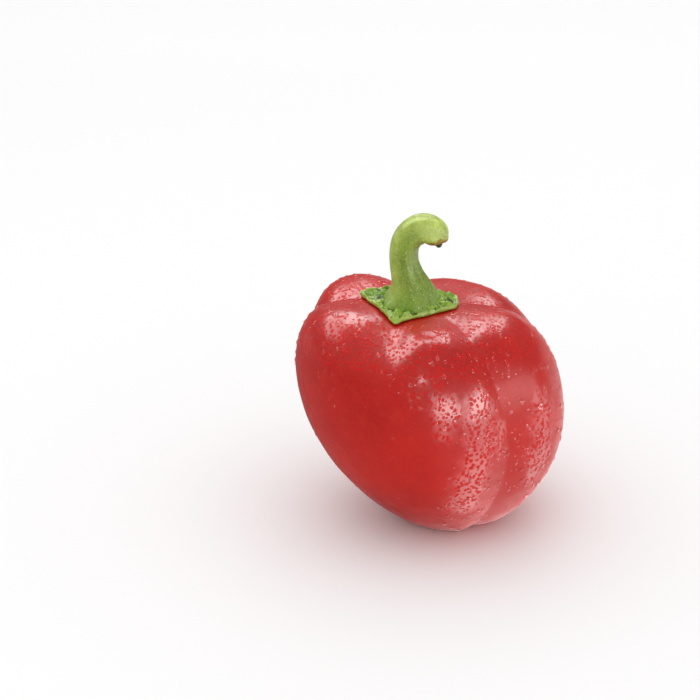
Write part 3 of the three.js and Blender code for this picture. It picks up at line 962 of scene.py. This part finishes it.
# three soft boxes that only the gloss sees, and a light from above that the gloss doesn't see,
# with their places and sizes in metres
lightDesign = {
    "backBox": {"place": (-0.30, 0.54, 0.84), "aim": (0.0, 0.0, 0.05), "size": (1.85, 0.76),
                "brightness": 6.0, "glossOnly": True},
    "sideBox": {"place": (0.36, -0.36, 0.06), "aim": (0.0, 0.0, 0.05), "size": (1.0, 0.2),
                "brightness": 10.0, "glossOnly": True},
    "window": {"place": (-0.24, -1.05, 0.66), "aim": (0.0, 0.0, 0.06), "size": (0.2, 0.2),
               "brightness": 14.0, "glossOnly": True},
    "topLight": {"place": (0.05, -0.1, 1.3), "aim": (0.0, 0.0, 0.0), "size": (1.4, 1.4),
                 "brightness": 0.45, "glossOnly": False},
}


def addLight(name, design):
    width, depth = design["size"]
    data = bpy.data.lights.new(name, "AREA")
    data.shape = "RECTANGLE"
    data.size = width
    data.size_y = depth
    data.energy = design["brightness"] * width * depth * math.pi  # the same brightness at any size
    light = newObject(name, data)
    light.location = design["place"]
    light.rotation_mode = "QUATERNION"
    light.rotation_quaternion = (Vector(design["aim"]) - Vector(design["place"])).to_track_quat("-Z", "Y")
    light.visible_camera = False
    light.visible_glossy = design["glossOnly"]
    light.visible_diffuse = not design["glossOnly"]


# 1 where a ray was mirrored by a surface, and 0 where it was scattered or came through water
def mirroredRay(tree):
    path = addNode(tree, "ShaderNodeLightPath").outputs
    return maths(tree, "MULTIPLY", path["Is Glossy Ray"],
                 maths(tree, "SUBTRACT", 1.0, path["Is Transmission Ray"]))


def addFloor():
    bm = bmesh.new()
    bmesh.ops.create_grid(bm, x_segments=1, y_segments=1, size=stageDesign["floorSize"] / 2)
    mesh = bpy.data.meshes.new("floor")
    bm.to_mesh(mesh)
    bm.free()
    floor = newObject("floor", mesh)
    material, tree, paint = newMaterial("paleFloor")
    tone = stageDesign["floorTone"]
    paint.inputs["Base Color"].default_value = colour(tone, tone, tone)
    paint.inputs["Roughness"].default_value = stageDesign["floorRoughness"]
    place = addNode(tree, "ShaderNodeTexCoord").outputs["Object"]
    across = addNode(tree, "ShaderNodeSeparateXYZ", {0: place}).outputs["X"]
    edge = remap(tree, across, *cardDesign["edge"])
    fade = remap(tree, vectorMaths(tree, "LENGTH", place), 0.0, cardDesign["reach"],
                 1.0, cardDesign["farShare"])
    fromCore = vectorMaths(tree, "DISTANCE", place, cardDesign["core"])
    core = maths(tree, "MULTIPLY", remap(tree, fromCore, cardDesign["coreReach"], 0.0), edge)
    card = maths(tree, "MULTIPLY", edge, fade)
    glow = maths(tree, "MULTIPLY_ADD", card, cardDesign["glow"], cardDesign["shine"])
    glow = maths(tree, "MULTIPLY_ADD", core, cardDesign["coreGlow"], glow)
    shining = addNode(tree, "ShaderNodeEmission", {"Strength": glow})
    mixed = addNode(tree, "ShaderNodeMixShader", {
        0: mirroredRay(tree), 1: paint.outputs[0], 2: shining.outputs[0]})
    tree.links.new(mixed.outputs[0], tree.nodes["Material Output"].inputs["Surface"])
    mesh.materials.append(material)


def addStage():
    addFloor()
    world = bpy.data.worlds.new("studio")
    bpy.context.scene.world = world
    world.use_nodes = True
    sky = world.node_tree
    sky.nodes.clear()
    strength = remap(sky, mirroredRay(sky), 0.0, 1.0,
                     stageDesign["fill"], stageDesign["fillShine"], "LINEAR")
    seen = addNode(sky, "ShaderNodeLightPath").outputs["Is Camera Ray"]
    seen = maths(sky, "MULTIPLY", seen, stageDesign["backdrop"] - stageDesign["fill"])
    shine = addNode(sky, "ShaderNodeBackground", {
        "Color": colour(1, 1, 1), "Strength": maths(sky, "ADD", strength, seen)})
    addNode(sky, "ShaderNodeOutputWorld", {"Surface": shine.outputs[0]})
    for name, design in lightDesign.items():
        addLight(name, design)
    bpy.context.scene.view_settings.view_transform = "Standard"
    print("stage set:", len(lightDesign), "lights")


# the pepper put together

addStage()
fruitSkin = makeFruit()
calyxLeaf = makeCalyx()
stemStalk = makeStem()
stemNub = makeNub(stemStalk)
water = makeWaterMaterial()
beadTree = makeBeadTree()
skinBeads = makeBeads("skinBeads", fruitSkin, beadDesign, beadTree, water)
calyxDew = makeBeads("calyxDew", calyxLeaf, dewDesign, beadTree, water)
stemDew = makeBeads("stemDew", stemStalk, dewDesign, beadTree, water)
waterDrops = makeDrops(fruitSkin, water)

for piece in (fruitSkin, calyxLeaf, stemStalk, stemNub, skinBeads, calyxDew, stemDew, waterDrops):
    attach(piece, "root")
for piece, nodeName, slotName in (
    (fruitSkin, "fruit", "fruit_skin"),
    (calyxLeaf, "calyx", "calyx_green"),
    (stemStalk, "stem", "stem_green"),
):
    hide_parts(nodeName)
